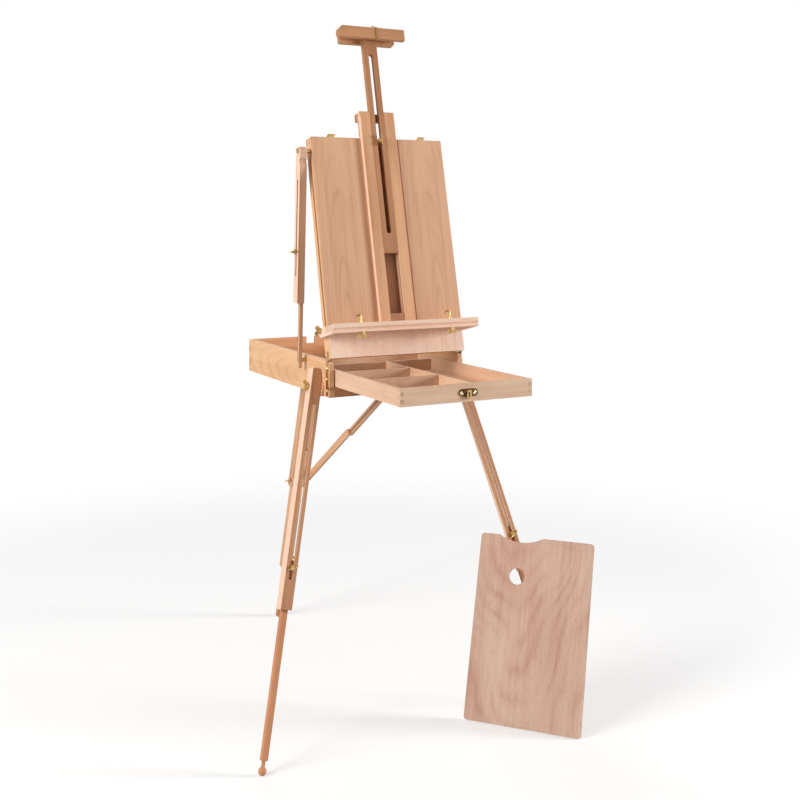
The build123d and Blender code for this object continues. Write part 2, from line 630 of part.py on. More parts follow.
arm -= Pos(0, arm_open - 26, arm_width / 2 + 5) * across * Cylinder(9.5, 600)
arm -= Pos(0, arm_open, 0) * across * Cylinder(bolt, 600)
clamp_bolt = Pos(-(arm_bar_x0 + 1 + arm_x + arm_depth + nut_reach) / 2, clamp_at, 0) * across * \
    Cylinder(bolt, arm_x + arm_depth + nut_reach - arm_bar_x0 - 1)
top_bolt = Pos(-(lid_half + 0.3 + arm_x + arm_depth) / 2, arm_open, 0) * across * \
    Cylinder(bolt, arm_x + arm_depth - lid_half - 0.3)
top_bolt += Pos(-(lid_half + 0.3 + arm_x) / 2, arm_open, 0) * across * Cylinder(6.0, arm_x - lid_half - 0.3)
top_bolt += Pos(-(arm_x + arm_depth + 1.6), arm_open, 0) * across * Cylinder(6.4, 3.2)
keep("side_arm_lower", place * bar)
keep("side_arm_upper", place * arm)
keep("arm_clamp_bolt", place * clamp_bolt)
keep("arm_top_bolt", place * top_bolt)
keep("arm_wing_nut", place * wing_nut((-arm_x - arm_depth - 0.2, clamp_at, 0), (-1, 0, 0), 15.0, 15))

# front legs: local x = across the leg, local y = up the leg, local z = forwards
lw, ld = leg_width / 2, leg_depth / 2
for name, f in leg_frames.items():
    side = f["side"]
    e, up = Vector(*f["e"]), Vector(*f["up"])
    # local frame: x along +X-ish so that it stays right handed
    xd = e * side
    place = Location(Plane(origin=f["pivot"], x_dir=xd, z_dir=xd.cross(up)))
    f["place"] = place
    out = side
    upper = block(-lw, lw, -leg_upper_down, leg_head, -ld, ld)
    wall_l = (leg_width - leg_lower_width) / 2 - slip
    plate_l = 7.0
    front_sign = -1 if (Vector(*f["pivot"]) + xd.cross(up)).Y > f["pivot"][1] else 1
    f["front"] = front_sign
    cz0, cz1 = sorted((front_sign * (ld - plate_l), -front_sign * (ld + 1)))
    upper -= block(-lw + wall_l, lw - wall_l, -leg_upper_down - 1, -leg_solid_head, cz0, cz1)
    ix0, ix1 = sorted((-out * (lw - wall_l - 1), -out * (lw + 1)))
    iz0, iz1 = sorted((front_sign * (ld - leg_side_wall), -front_sign * (ld + 1)))
    upper -= block(ix0, ix1, -leg_upper_down - 1, -leg_solid_head, iz0, iz1)
    pz0, pz1 = sorted((front_sign * (ld - plate_l - 1), front_sign * (ld + 1)))
    sr = leg_slot / 2
    cut = block(-sr, sr, sr - leg_slot_to, -leg_slot_from - sr, pz0, pz1)
    for y in (sr - leg_slot_to, -leg_slot_from - sr):
        cut += Pos(0, y, (pz0 + pz1) / 2) * Cylinder(sr, pz1 - pz0)
    upper -= cut
    bevel_from = (wedge_top - leg_z) / math.cos(math.radians(leg_splay)) - 0.6
    rise = leg_head + 2 - bevel_from
    run_b = rise * math.tan(math.radians(leg_splay + 0.8))
    tri = make_face(Polyline((-out * (lw + 1), bevel_from), (-out * (lw + 1), bevel_from + rise),
                             (-out * (lw - run_b), bevel_from + rise), (-out * lw, bevel_from), close=True))
    upper -= extrude(Pos(0, 0, -ld - 1) * tri, 2 * ld + 2)
    upper -= Rot(0, 90, 0) * Cylinder(bolt + run, 200)
    upper = upper.solids()[0] if len(upper.solids()) == 1 else upper
    # extension
    llw = leg_lower_width / 2
    lz1 = front_sign * (ld - plate_l - slip)
    lz0 = lz1 - front_sign * leg_lower_depth
    z0, z1 = sorted((lz0, lz1))
    zc = (z0 + z1) / 2
    # centre of the ball sits foot_ball above the floor on the extension's own centre line
    axis_z = (xd.cross(up)).Z
    lower_end = (stand_height + leg_z - foot_ball + zc * axis_z) / up.Z
    lower = block(-llw, llw, -(lower_end - 22), -leg_lower_from, z0, z1)
    neck_l = 22.0
    lower += Pos(0, -(lower_end - neck_l / 2), zc) * Rot(90, 0, 0) * Cylinder(4.4, neck_l + 4)
    lower += Pos(0, -lower_end, zc) * Sphere(foot_ball)
    lower += Pos(0, -(lower_end - neck_l - 2), zc) * Rot(90, 0, 0) * Cylinder(7.0, 5)
    lower -= Pos(0, -leg_screw_at, front_sign * ld) * Cylinder(bolt + run, 2 * (plate_l + slip + 9.3))
    keep(name + "_leg_upper", place * upper)
    keep(name + "_leg_lower", place * lower)
    screw = wing_screw((0, 0, 0), (0, 0, 1), plate_l + slip + 9, 15.0, 20)
    flip = Rot(180, 0, 0) if front_sign < 0 else Rot(0, 0, 0)
    keep(name + "_leg_screw", place * Pos(0, -leg_screw_at, front_sign * (ld + 0.2)) * flip * screw)
    f["screw"] = place * Pos(0, -leg_screw_at, front_sign * ld)
    f["screw_dir"] = (place * Pos(0, 0, front_sign)).position - place.position
    p = Vector(*f["pivot"]) + e * (lw + 0.2)
    keep(name + "_leg_wing_nut", wing_nut((p.X, p.Y, p.Z), f["e"], 15.0, 30))

# rear leg: local x = x, local y = down the leg, local z = forwards
rl = math.radians(rear_lean)
rear_down = (0, math.sin(rl), -math.cos(rl))
rear_place = Location(Plane(origin=(0, rear_y, rear_z), x_dir=(1, 0, 0),
                            z_dir=Vector(1, 0, 0).cross(Vector(*rear_down))))
rw, rd = rear_width / 2, rear_depth / 2
ri = rear_inner / 2
rear_up = block(-rw, rw, 0, rear_upper_length, -rd, rd)
rear_up += Rot(0, 90, 0) * Cylinder(rd, rear_width)
rear_up -= block(-ri - slip, ri + slip, 60, rear_upper_length + 1, -rd - 1, rd + 1)
rear_up -= Rot(0, 90, 0) * Cylinder(3.0 + run, 100)
rear_up -= Pos(-rw, rear_screw_at, 0) * Rot(0, 90, 0) * Cylinder(bolt + run, 20)
middle = block(-ri, ri, rear_middle_from, rear_middle_to, -rd, rd)
fw, fd = rear_foot_width / 2, rear_foot_depth / 2
middle -= block(-fw - slip, fw + slip, rear_middle_from + 50, rear_middle_to + 1, -rd - 1, rd + 1)
for side in (-1, 1):
    middle -= Pos(side * ri, rear_middle_to, 0) * Rot(0, 0, side * 25) * Box(6, 34, 60)
middle -= Pos(ri, rear_low_screw_at, 0) * Rot(0, 90, 0) * Cylinder(bolt + run, 30)
foot_to = (stand_height + rear_z) / math.cos(rl)
foot = block(-fw, fw, rear_foot_from, foot_to + 30, -fd, fd)
ground = Location(Plane(origin=(0, 0, -stand_height), z_dir=(0, 0, 1))) * Pos(0, rear_y + 300, -100) * \
    Box(400, 1200, 200)
foot_w = (rear_place * foot) - ground
keep("rear_leg_upper", rear_place * rear_up)
keep("rear_leg_middle", rear_place * middle)
keep("rear_leg_foot", foot_w)
keep("rear_upper_screw", rear_place * wing_screw((-rw - 0.2, rear_screw_at, 0), (-1, 0, 0), rw - ri - 0.1, 15.0, 40))
keep("rear_lower_screw", rear_place * wing_screw((ri + 0.2, rear_low_screw_at, 0), (1, 0, 0), ri - fw - 0.1, 13.0, 30))

# brace, two bars meeting on a middle pin
end = (0, rear_y + brace_at * rear_down[1], rear_z + brace_at * rear_down[2])
folded = (rear_y - brace_at, rear_z)
span_open = math.hypot(end[1] - brace_y, end[2] - brace_z)
span_shut = math.hypot(folded[0] - brace_y, folded[1] - brace_z)
brace_a = (span_open - span_shut) / 2
brace_b = (span_open + span_shut) / 2
brace_angle = math.atan2(end[2] - brace_z, end[1] - brace_y)
b_dir = (0, math.cos(brace_angle), math.sin(brace_angle))
b_place = Location(Plane(origin=(0, brace_y, brace_z), x_dir=(1, 0, 0), z_dir=(0, -b_dir[2], b_dir[1])))
bw = brace_width / 2


def bar_between(x0, x1, y0, y1):
    body = block(x0, x1, y0, y1, -bw, bw)
    for y in (y0, y1):
        body += Pos((x0 + x1) / 2, y, 0) * Rot(0, 90, 0) * Cylinder(bw, x1 - x0)
    return body


upper_bar = bar_between(brace_x2, brace_x3, 0, brace_a)
upper_bar -= Rot(0, 90, 0) * Cylinder(2.5 + run, 200)
upper_bar -= Pos(0, brace_a, 0) * Rot(0, 90, 0) * Cylinder(2.5 + run, 200)
lower_bar = bar_between(brace_x0, brace_x1, brace_a, span_open)
lower_bar -= Pos(0, brace_a, 0) * Rot(0, 90, 0) * Cylinder(2.5, 200)
lower_bar -= Pos(0, span_open, 0) * Rot(0, 90, 0) * Cylinder(2.5, 200)
mid_pin = Pos((brace_x0 + 0.2 + brace_x3 + 2.2) / 2, brace_a, 0) * Rot(0, 90, 0) * Cylinder(2.5, brace_x3 + 2 - brace_x0)
mid_pin += Pos(brace_x3 + 1.2, brace_a, 0) * Rot(0, 90, 0) * Cylinder(4.2, 2.0)
pin_from, pin_to = rw + 0.4, brace_x1 + 2.2
end_pin = Pos((pin_from + pin_to) / 2, span_open, 0) * Rot(0, 90, 0) * Cylinder(2.5, pin_to - pin_from)
end_pin += Pos((pin_from + brace_x0 - 0.1) / 2, span_open, 0) * Rot(0, 90, 0) * \
    Cylinder(bw - 3, brace_x0 - 0.1 - pin_from)
end_pin += Pos(brace_x1 + 1.2, span_open, 0) * Rot(0, 90, 0) * Cylinder(4.2, 2.4)
keep("brace_upper", b_place * upper_bar)
keep("brace_lower", b_place * lower_bar)
keep("brace_pins", b_place * mid_pin, b_place * end_pin)

# palette leaning on the right leg
turn = math.radians(palette_turn)
ex = Vector(math.cos(turn), math.sin(turn), 0)
hb = Vector(-ex.Y, ex.X, 0)
corner = Vector(palette_corner[0], palette_corner[1], -stand_height)
rf = leg_frames["right"]
re_, ru = Vector(*rf["e"]), Vector(*rf["up"])
rfw = rf["place"]


dip_c, dip_w, dip_d = 106.0, 116.0, 15.0
dip_r = (dip_w ** 2 / 4 + dip_d ** 2) / (2 * dip_d)


def palette_top(x):
    """Height of the palette's top edge at x along it."""
    if abs(x - dip_c) >= dip_w / 2:
        return palette_height
    return palette_height - dip_d + dip_r - math.sqrt(dip_r ** 2 - (x - dip_c) ** 2)


def palette_lean():
    lean, touch = math.radians(19), palette_height
    for _ in range(12):
        z_top = -stand_height + touch * math.cos(lean)
        best = 1e9
        for sx in (-1, 1):
            for sz in (-1, 1):
                base = (rfw * Pos(sx * lw, 0, sz * ld)).position
                t = (base.Z - z_top) / ru.Z
                point = base - ru * t
                if (point - corner).dot(hb) < best:
                    best = (point - corner).dot(hb)
                    touch = palette_top((point - corner).dot(ex))
        lean = math.asin(min(0.8, (best - clear) / touch))
    return lean


lean = palette_lean()
ey = Vector(0, 0, 1) * math.cos(lean) + hb * math.sin(lean)
normal = ex.cross(ey)
pal_place = Location(Plane(origin=(corner.X, corner.Y, corner.Z), x_dir=ex, z_dir=normal))
pal = block(0, palette_width, 0, palette_height, 0, palette_ply)
pal = fillet(pal.edges().filter_by(Axis.Z), 9.0)
pal -= Pos(dip_c, palette_height - dip_d + dip_r, palette_ply / 2) * Cylinder(dip_r, palette_ply * 3)
thumb = (103.0, 350.0)
pal -= Pos(thumb[0], thumb[1], palette_ply / 2) * Cylinder(thumb_radius, palette_ply * 3)
keep("palette", pal_place * pal)

# move to the reference frame and write
everything = Compound(children=[s for group in parts.values() for s in group])
bb = everything.bounding_box()
shift = Vector(-(bb.min.X + bb.max.X) / 2, -(bb.min.Y + bb.max.Y) / 2, -bb.min.Z)
if __name__ == "__main__":
    for name, solids in parts.items():
        moved = [Pos(shift.X, shift.Y, shift.Z) * s for s in solids]
        for s, m in zip(solids, moved):
            m.label = name
        export_step(Compound(label=name, children=moved), f"parts/{name}.step")
    print(len(parts), "nodes", "shift", shift, "size", bb.size)
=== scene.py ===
import bpy
import bmesh
import json
import math
from mathutils import Matrix, Vector


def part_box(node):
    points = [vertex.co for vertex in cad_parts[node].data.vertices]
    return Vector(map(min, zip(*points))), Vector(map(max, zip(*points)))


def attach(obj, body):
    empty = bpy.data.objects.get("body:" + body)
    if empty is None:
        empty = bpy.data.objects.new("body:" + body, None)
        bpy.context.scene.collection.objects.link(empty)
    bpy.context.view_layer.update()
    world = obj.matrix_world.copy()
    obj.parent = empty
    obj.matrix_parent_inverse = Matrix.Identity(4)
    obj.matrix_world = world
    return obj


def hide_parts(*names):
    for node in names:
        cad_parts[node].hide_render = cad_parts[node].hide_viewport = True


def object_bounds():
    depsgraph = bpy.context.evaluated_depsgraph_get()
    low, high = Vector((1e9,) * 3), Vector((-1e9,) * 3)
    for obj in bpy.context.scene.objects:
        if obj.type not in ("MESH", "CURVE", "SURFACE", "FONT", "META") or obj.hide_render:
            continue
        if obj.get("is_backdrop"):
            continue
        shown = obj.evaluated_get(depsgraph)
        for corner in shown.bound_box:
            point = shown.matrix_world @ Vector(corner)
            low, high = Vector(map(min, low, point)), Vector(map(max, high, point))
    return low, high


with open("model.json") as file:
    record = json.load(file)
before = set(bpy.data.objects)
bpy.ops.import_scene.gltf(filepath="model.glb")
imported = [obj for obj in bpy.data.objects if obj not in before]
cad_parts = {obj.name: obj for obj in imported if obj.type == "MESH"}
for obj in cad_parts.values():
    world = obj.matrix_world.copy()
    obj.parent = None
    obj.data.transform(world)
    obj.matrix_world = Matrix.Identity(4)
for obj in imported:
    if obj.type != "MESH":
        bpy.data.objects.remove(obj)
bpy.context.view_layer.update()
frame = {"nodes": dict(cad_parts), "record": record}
nodes = frame["nodes"]
scene = bpy.context.scene
print("stage frame", len(nodes), "nodes")


class Sock:
    def __init__(self, graph, socket):
        self.graph = graph
        self.socket = socket

    def op(self, kind, *others):
        return self.graph.node("ShaderNodeMath", [self, *others], operation=kind)

    def __add__(self, other):
        return self.op("ADD", other)

    def __sub__(self, other):
        return self.op("SUBTRACT", other)

    def __rsub__(self, other):
        return self.graph.node("ShaderNodeMath", [other, self], operation="SUBTRACT")

    def __mul__(self, other):
        return self.op("MULTIPLY", other)

    __radd__ = __add__
    __rmul__ = __mul__

    def power(self, other):
        return self.op("POWER", other)

    def sine(self):
        return self.op("SINE")

    def root(self):
        return self.op("SQRT")

    def absolute(self):
        return self.op("ABSOLUTE")

    def above(self, low, high):
        values = {"Value": self, "From Min": low, "From Max": high, "To Min": 0.0, "To Max": 1.0}
        return self.graph.node("ShaderNodeMapRange", values, interpolation_type="SMOOTHSTEP")


def rgba(color):
    return color if isinstance(color, Sock) else (*color, 1.0)


# places of the colour sockets on a mix node, and the strength of every bump
mixSockets = {"factor": 0, "first": 6, "second": 7, "result": 2}
bumpStrength = 0.6


class Graph:
    def __init__(self, owner):
        owner.use_nodes = True
        self.owner = owner
        self.tree = owner.node_tree
        self.tree.nodes.clear()

    def node(self, kind, values=(), out=0, **settings):
        made = self.tree.nodes.new(kind)
        for key, value in settings.items():
            setattr(made, key, value)
        pairs = values.items() if isinstance(values, dict) else enumerate(values)
        for key, value in pairs:
            if isinstance(value, Sock):
                self.tree.links.new(value.socket, made.inputs[key])
            else:
                made.inputs[key].default_value = value
        return made if out is None else Sock(self, made.outputs[out])

    def vector(self, x, y, z):
        return self.node("ShaderNodeCombineXYZ", [x, y, z])

    def along(self, vector, axis):
        return self.node("ShaderNodeVectorMath", [vector, tuple(axis)], out="Value", operation="DOT_PRODUCT")

    def noise(self, vector, scale=1.0, detail=2.0, rough=0.5):
        values = {"Vector": vector, "Scale": scale, "Detail": detail, "Roughness": rough}
        return self.node("ShaderNodeTexNoise", values)

    def mix(self, factor, first, second):
        at = mixSockets
        values = {at["factor"]: factor, at["first"]: rgba(first), at["second"]: rgba(second)}
        return self.node("ShaderNodeMix", values, out=at["result"], data_type="RGBA")

    def surface(self, color, rough, height, depth, metal=0.0, coat=0.0, coatRough=0.2):
        bump = self.node("ShaderNodeBump", {"Height": height, "Strength": bumpStrength, "Distance": depth})
        values = {"Base Color": color, "Roughness": rough, "Metallic": metal, "Coat Weight": coat,
                  "Coat Roughness": coatRough, "Normal": bump}
        return self.close(self.node("ShaderNodeBsdfPrincipled", values))

    def close(self, shader, kind="ShaderNodeOutputMaterial"):
        self.node(kind, {"Surface": shader}, out=None)
        return self.owner


def toLinear(r, g, b):
    return tuple(((c / 255 + 0.055) / 1.055) ** 2.4 if c > 10 else c / 255 / 12.92 for c in (r, g, b))


# noise in the wood: waves per metre along and across the grain, and how often the seed shifts them
woodLayers = {
    "slow": {"along": 2.6, "across": 6.0, "detail": 1.0, "rough": 0.5, "shift": 1},
    "wander": {"along": 7.0, "across": 40.0, "detail": 3.0, "rough": 0.5, "shift": 1},
    "patch": {"along": 5.0, "across": 16.0, "detail": 1.0, "rough": 0.5, "shift": 2},
    "fibre": {"along": 9.0, "across": 460.0, "detail": 3.0, "rough": 0.6, "shift": 1},
    "cloud": {"along": 3.0, "across": 9.0, "detail": 2.0, "rough": 0.5, "shift": 1},
    "band": {"along": 1.5, "across": 60.0, "detail": 2.0, "rough": 0.5, "shift": 1},
}
# how much each layer moves the shade, the ranges that blend one part into the next, and the finish
woodLook = {"wander": 0.9, "bend": 0.3, "sharp": 9.0, "patchLow": 0.15, "fibre": 0.55, "cloud": 0.9,
            "band": 0.55, "base": 0.36, "deep": 0.60, "fleckSoft": 0.12, "fleckLong": 8, "endGrain": 0.42,
            "plyLine": 0.4, "plyEdge": 0.15, "rough": 0.56, "roughFibre": 0.12, "bumpFibre": 0.5,
            "bumpRing": 0.2, "bumpFleck": 0.5, "depth": 0.00010, "coat": 0.03, "coatRough": 0.5,
            # the left-facing range sets how far a face turns left before the painted light on it begins and
            # is full
            "patchRange": (0.3, 0.65), "sapRange": (0.4, 0.9), "edgeRange": (0.3, 0.6),
            "veneerRange": (-0.2, 0.4), "endRange": (0.75, 0.95)}


def woodMaterial(name, grain, across, shades, seed, figure, centre):
    g = Graph(bpy.data.materials.new(name))
    look = woodLook
    light, dark = shades
    a = Vector(grain).normalized()
    b = Vector(across)
    b = (b - a * b.dot(a)).normalized()
    c = a.cross(b)
    where = g.node("ShaderNodeTexCoord", out="Object")
    facing = g.node("ShaderNodeTexCoord", out="Normal")
    s, t, w = (g.along(where, axis) - axis.dot(centre) for axis in (a, b, c))
    if figure["mirror"]:
        t = t.absolute()

    def layer(key):
        v = woodLayers[key]
        place = g.vector(s * v["along"] + seed * v["shift"], t * v["across"], w * v["across"])
        return g.noise(place, 1.0, v["detail"], v["rough"])

    x = t - figure["middle"] + (layer("slow") - 0.5) * figure["sway"]
    y = (s - figure["tip"]) * figure["drift"] + w * look["bend"] + figure["heart"]
    radius = (x * x + y * y).root() + (layer("wander") - 0.5) * figure["spacing"] * look["wander"]
    ring = (radius * (2 * math.pi / figure["spacing"])).sine() * 0.5 + 0.5
    late = ring * (1 - figure["thin"]) + ring.power(look["sharp"]) * figure["thin"]
    late = late * (layer("patch").above(*look["patchRange"]) * (1 - look["patchLow"]) + look["patchLow"])
    fibre = layer("fibre")
    run = figure["run"]
    dash = g.noise(g.vector(s * run, t * run * look["fleckLong"], w * run * look["fleckLong"]), 1.0, 1.0)
    fleck = dash.above(figure["fleckFrom"], figure["fleckFrom"] + look["fleckSoft"])
    shade = late * figure["lines"] + look["base"] + (fibre - 0.5) * look["fibre"]
    for key in ("cloud", "band"):
        shade = shade + (layer(key) - 0.5) * look[key]
    color = g.mix(shade.above(0.0, 1.0), light, dark)
    deep = tuple(v * look["deep"] for v in dark)
    color = g.mix(fleck * figure["fleck"], color, figure["fleckTone"] or deep)
    # painted light: faces turned to the left, towards the key lamp, are blended to the pale tone
    if figure["sap"]:
        pale = g.along(facing, (-1, 0, 0)).above(*look["sapRange"]) * figure["sap"]
        color = g.mix(pale, color, tones["pale"][0])
    if figure["ply"]:
        edge = 1 - g.along(facing, c).absolute().above(*look["edgeRange"])
        veneer = (w * (2 * math.pi / figure["ply"])).sine().above(*look["veneerRange"])
        color = g.mix(edge * (veneer * look["plyLine"] + look["plyEdge"]), color, deep)
    else:
        end = g.along(facing, a).absolute().above(*look["endRange"])
        color = g.mix(end * look["endGrain"], color, deep)
    height = fibre * look["bumpFibre"] + ring * look["bumpRing"] - fleck * look["bumpFleck"]
    return g.surface(color, fibre * look["roughFibre"] + look["rough"], height, look["depth"],
                     coat=look["coat"], coatRough=look["coatRough"])


metalLook = {"spots": 260.0, "haze": 60.0, "scratch": (300.0, 2600.0, 900.0), "spotPart": 0.35,
             "tarnish": 0.6, "roughHaze": 0.18, "roughScratch": 0.06, "depth": 0.00003,
             "stainRange": (0.44, 0.72)}


def metalMaterial(name, color, dark, rough):
    g = Graph(bpy.data.materials.new(name))
    look = metalLook
    where = g.node("ShaderNodeTexCoord", out="Object")
    spots = g.noise(where, look["spots"], 3.0)
    haze = g.noise(where, look["haze"], 3.0)
    stretched = g.node("ShaderNodeMapping", {"Vector": where, "Scale": look["scratch"]})
    scratch = g.noise(stretched, 1.0, 2.0)
    stain = spots * look["spotPart"] + haze * (1 - look["spotPart"])
    tint = g.mix(stain.above(*look["stainRange"]) * look["tarnish"], color, dark)
    roughness = haze * look["roughHaze"] + rough + scratch * look["roughScratch"]
    return g.surface(tint, roughness, scratch, look["depth"], metal=1.0)


leatherLook = {"cells": 900.0, "wear": 45.0, "light": toLinear(92, 50, 28), "dark": toLinear(58, 30, 17),
               "rough": 0.45, "roughWear": 0.2, "depth": 0.0003, "wearRange": (0.35, 0.7),
               "poreRange": (0.0, 0.12)}


def leatherMaterial(name):
    g = Graph(bpy.data.materials.new(name))
    look = leatherLook
    where = g.node("ShaderNodeTexCoord", out="Object")
    pores = {"Vector": where, "Scale": look["cells"]}
    cells = g.node("ShaderNodeTexVoronoi", pores, feature="DISTANCE_TO_EDGE")
    wear = g.noise(where, look["wear"], 3.0)
    color = g.mix(wear.above(*look["wearRange"]), look["light"], look["dark"])
    height = cells.above(*look["poreRange"])
    return g.surface(color, wear * look["roughWear"] + look["rough"], height, look["depth"])


# directions of the grain, and across it, in the shared frame
xAxis, yAxis, zAxis = (1, 0, 0), (0, 1, 0), (0, 0, 1)
leanBack = math.radians(13.0)
up = (0.0, math.sin(leanBack), math.cos(leanBack))
out = (0.0, -math.cos(leanBack), math.sin(leanBack))
joints = {j["name"]: j for j in frame["record"]["behaviour"]["joints"]}
rearAxis = joints["rear_middle_extension"]["axis"]
armAxis = joints["arm_telescope"]["axis"]
brace = Vector(joints["brace_knee"]["pos_m"]) - Vector(joints["brace_fold"]["pos_m"])
away = Vector(joints["palette_away"]["axis"])
thumb = next(m for m in frame["record"]["mounts"] if m["name"] == "palette_thumb_hole")
paletteSide = Vector((-away.y, away.x, 0)).normalized()
paletteUp = Vector(thumb["axis"]).cross(paletteSide)

# light and dark shade of each kind of piece
tones = {
    "box": (toLinear(236, 190, 146), toLinear(204, 150, 103)),
    "drawer": (toLinear(238, 202, 172), toLinear(208, 163, 130)),
    "lid": (toLinear(226, 177, 139), toLinear(196, 141, 103)),
    "pale": (toLinear(244, 207, 182), toLinear(214, 166, 138)),
    "tray": (toLinear(250, 220, 198), toLinear(224, 180, 152)),
    "mast": (toLinear(226, 172, 129), toLinear(190, 130, 87)),
    "slide": (toLinear(192, 133, 90), toLinear(152, 96, 57)),
    "clamp": (toLinear(210, 153, 108), toLinear(170, 115, 73)),
    "arm": (toLinear(226, 184, 152), toLinear(186, 138, 106)),
    "leg": (toLinear(228, 180, 140), toLinear(190, 137, 97)),
    # upper legs: a darker tone, painted shade for their fronts where the drawer shades them
    "legPaintedShade": (toLinear(206, 150, 108), toLinear(164, 108, 70)),
    "foot": (toLinear(214, 150, 105), toLinear(172, 107, 67)),
    "palette": (toLinear(222, 188, 166), toLinear(188, 136, 114)),
}


def figureOf(**changes):
    base = {"spacing": 0.009, "middle": 0.0, "heart": 0.18, "drift": 0.006, "tip": 0.0, "sway": 0.02,
            "lines": 0.16, "thin": 0.7, "fleck": 0.28, "run": 150.0, "fleckFrom": 0.60, "fleckTone": None,
            "mirror": False, "ply": 0.0, "sap": 0.0}
    return {**base, **changes}


figures = {
    "straight": figureOf(),
    "flat": figureOf(spacing=0.011, middle=-0.01, heart=0.0, drift=0.17, tip=-0.22, sway=0.05, lines=0.26),
    "arched": figureOf(spacing=0.0085, middle=0.128, heart=0.0, drift=0.10, tip=-0.36, sway=0.045, lines=0.20,
                       thin=0.8, fleck=0.16, mirror=True, ply=0.0028),
    "rotary": figureOf(spacing=0.021, middle=-0.03, heart=0.0, drift=0.30, tip=0.34, sway=0.20, lines=0.25,
                       thin=0.35, fleck=0.34, run=60.0, ply=0.0028),
    "rained": figureOf(spacing=0.02, lines=0.03, fleck=0.55, run=55.0, fleckFrom=0.50,
                       fleckTone=toLinear(252, 232, 218), ply=0.0028),
    # painted light: lighter on the faces turned to the left, towards the key lamp
    "sapwood": figureOf(sap=0.9),
    "sheet": figureOf(spacing=0.012, heart=0.0, drift=0.2, tip=-0.4, sway=0.06, lines=0.26, ply=0.0022),
}
# each wooden node's grain, direction across it, tone and figure
woods = {
    "box_left_side": (yAxis, zAxis, "box", "flat"),
    "box_right_side": (yAxis, zAxis, "box", "flat"),
    # the box's back takes a darker tone: painted shade inside the box
    "box_back": (xAxis, zAxis, "mast", "flat"),
    # the front rail takes the dark slide tone: painted shade under the drawer
    "box_front_rail": (xAxis, zAxis, "slide", "straight"),
    "box_bottom": (yAxis, xAxis, "pale", "sheet"),
    "drawer_runners": (yAxis, zAxis, "box", "straight"),
    "mounting_blocks": (yAxis, xAxis, "leg", "straight"),
    "drawer_front": (xAxis, zAxis, "drawer", "straight"),
    "drawer_sides": (yAxis, zAxis, "drawer", "straight"),
    "drawer_back": (xAxis, zAxis, "drawer", "flat"),
    "drawer_bottom": (yAxis, xAxis, "drawer", "sheet"),
    "drawer_dividers": (yAxis, zAxis, "drawer", "straight"),
    "lid_left_stile": (up, out, "box", "straight"),
    "lid_right_stile": (up, out, "box", "straight"),
    "lid_cross_rails": (xAxis, out, "box", "straight"),
    "lid_upper_panels": (up, xAxis, "lid", "arched"),
    "lid_lower_panel": (up, xAxis, "tray", "rained"),
    "mast_channel": (up, xAxis, "lid", "straight"),
    "mast_rails": (up, xAxis, "mast", "sapwood"),
    "mast_cross_blocks": (up, xAxis, "slide", "straight"),
    "mast_slide": (up, xAxis, "slide", "straight"),
    "clamp_front_bar": (xAxis, up, "clamp", "straight"),
    "clamp_back_bar": (xAxis, up, "clamp", "straight"),
    "tray_ledge": (xAxis, out, "tray", "straight"),
    "tray_cheeks": (out, up, "tray", "straight"),
    "side_arm_lower": (armAxis, yAxis, "leg", "straight"),
    "side_arm_upper": (armAxis, yAxis, "arm", "sapwood"),
    "rear_leg_upper": (rearAxis, xAxis, "leg", "straight"),
    "rear_leg_middle": (rearAxis, xAxis, "leg", "straight"),
    "rear_leg_foot": (rearAxis, xAxis, "foot", "straight"),
    "brace_upper": (brace, zAxis, "leg", "straight"),
    "brace_lower": (brace, zAxis, "leg", "straight"),
    "palette": (paletteUp, paletteSide, "palette", "rotary"),
}
# upper legs take the darker tone as painted shade on their fronts, and painted light on their left-facing
# sides
for side in ("left", "right"):
    legAxis = joints[side + "_leg_extension"]["axis"]
    woods[side + "_leg_upper"] = (legAxis, xAxis, "legPaintedShade", "sapwood")
    woods[side + "_leg_lower"] = (legAxis, xAxis, "foot", "straight")

bronze = metalMaterial("bronze", toLinear(112, 86, 50), toLinear(52, 37, 21), 0.3)
brass = metalMaterial("brass", toLinear(200, 168, 114), toLinear(84, 60, 32), 0.2)
polished = metalMaterial("polishedBrass", toLinear(250, 234, 200), toLinear(204, 172, 112), 0.1)
darkBrass = metalMaterial("darkBrass", toLinear(164, 126, 74), toLinear(82, 58, 32), 0.24)
others = {"latch_plate": bronze, "clamp_strap": darkBrass, "handle_strap": leatherMaterial("leather")}

# shade and seed change a little from node to node
change = {"share": 0.03, "shadeStep": 2.1, "seedStep": 1.37, "seedStart": 0.4}
edges = {"wood": 0.0009, "metal": 0.0003, "angle": math.radians(35), "segments": 2, "weld": 0.00001}


def roundEdges(obj, width):
    bevel = obj.modifiers.new("bevel", "BEVEL")
    bevel.width = width
    bevel.segments = edges["segments"]
    bevel.limit_method = "ANGLE"
    bevel.angle_limit = edges["angle"]


for index, (name, obj) in enumerate(sorted(nodes.items())):
    if name in woods:
        grain, across, tone, figure = woods[name]
        shift = 1.0 + change["share"] * math.sin(index * change["shadeStep"])
        tinted = [tuple(v * shift for v in c) for c in tones[tone]]
        seed = index * change["seedStep"] + change["seedStart"]
        low, high = (Vector(v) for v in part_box(name))
        mat = woodMaterial("wood_" + name, grain, across, tinted, seed, figures[figure], (low + high) / 2)
    else:
        mat = others.get(name, brass)
    obj.data.materials.clear()
    obj.data.materials.append(mat)
    weld = obj.modifiers.new("weld", "WELD")
    weld.merge_threshold = edges["weld"]
    roundEdges(obj, edges["wood"] if name in woods else edges["metal"])
print("stage materials")


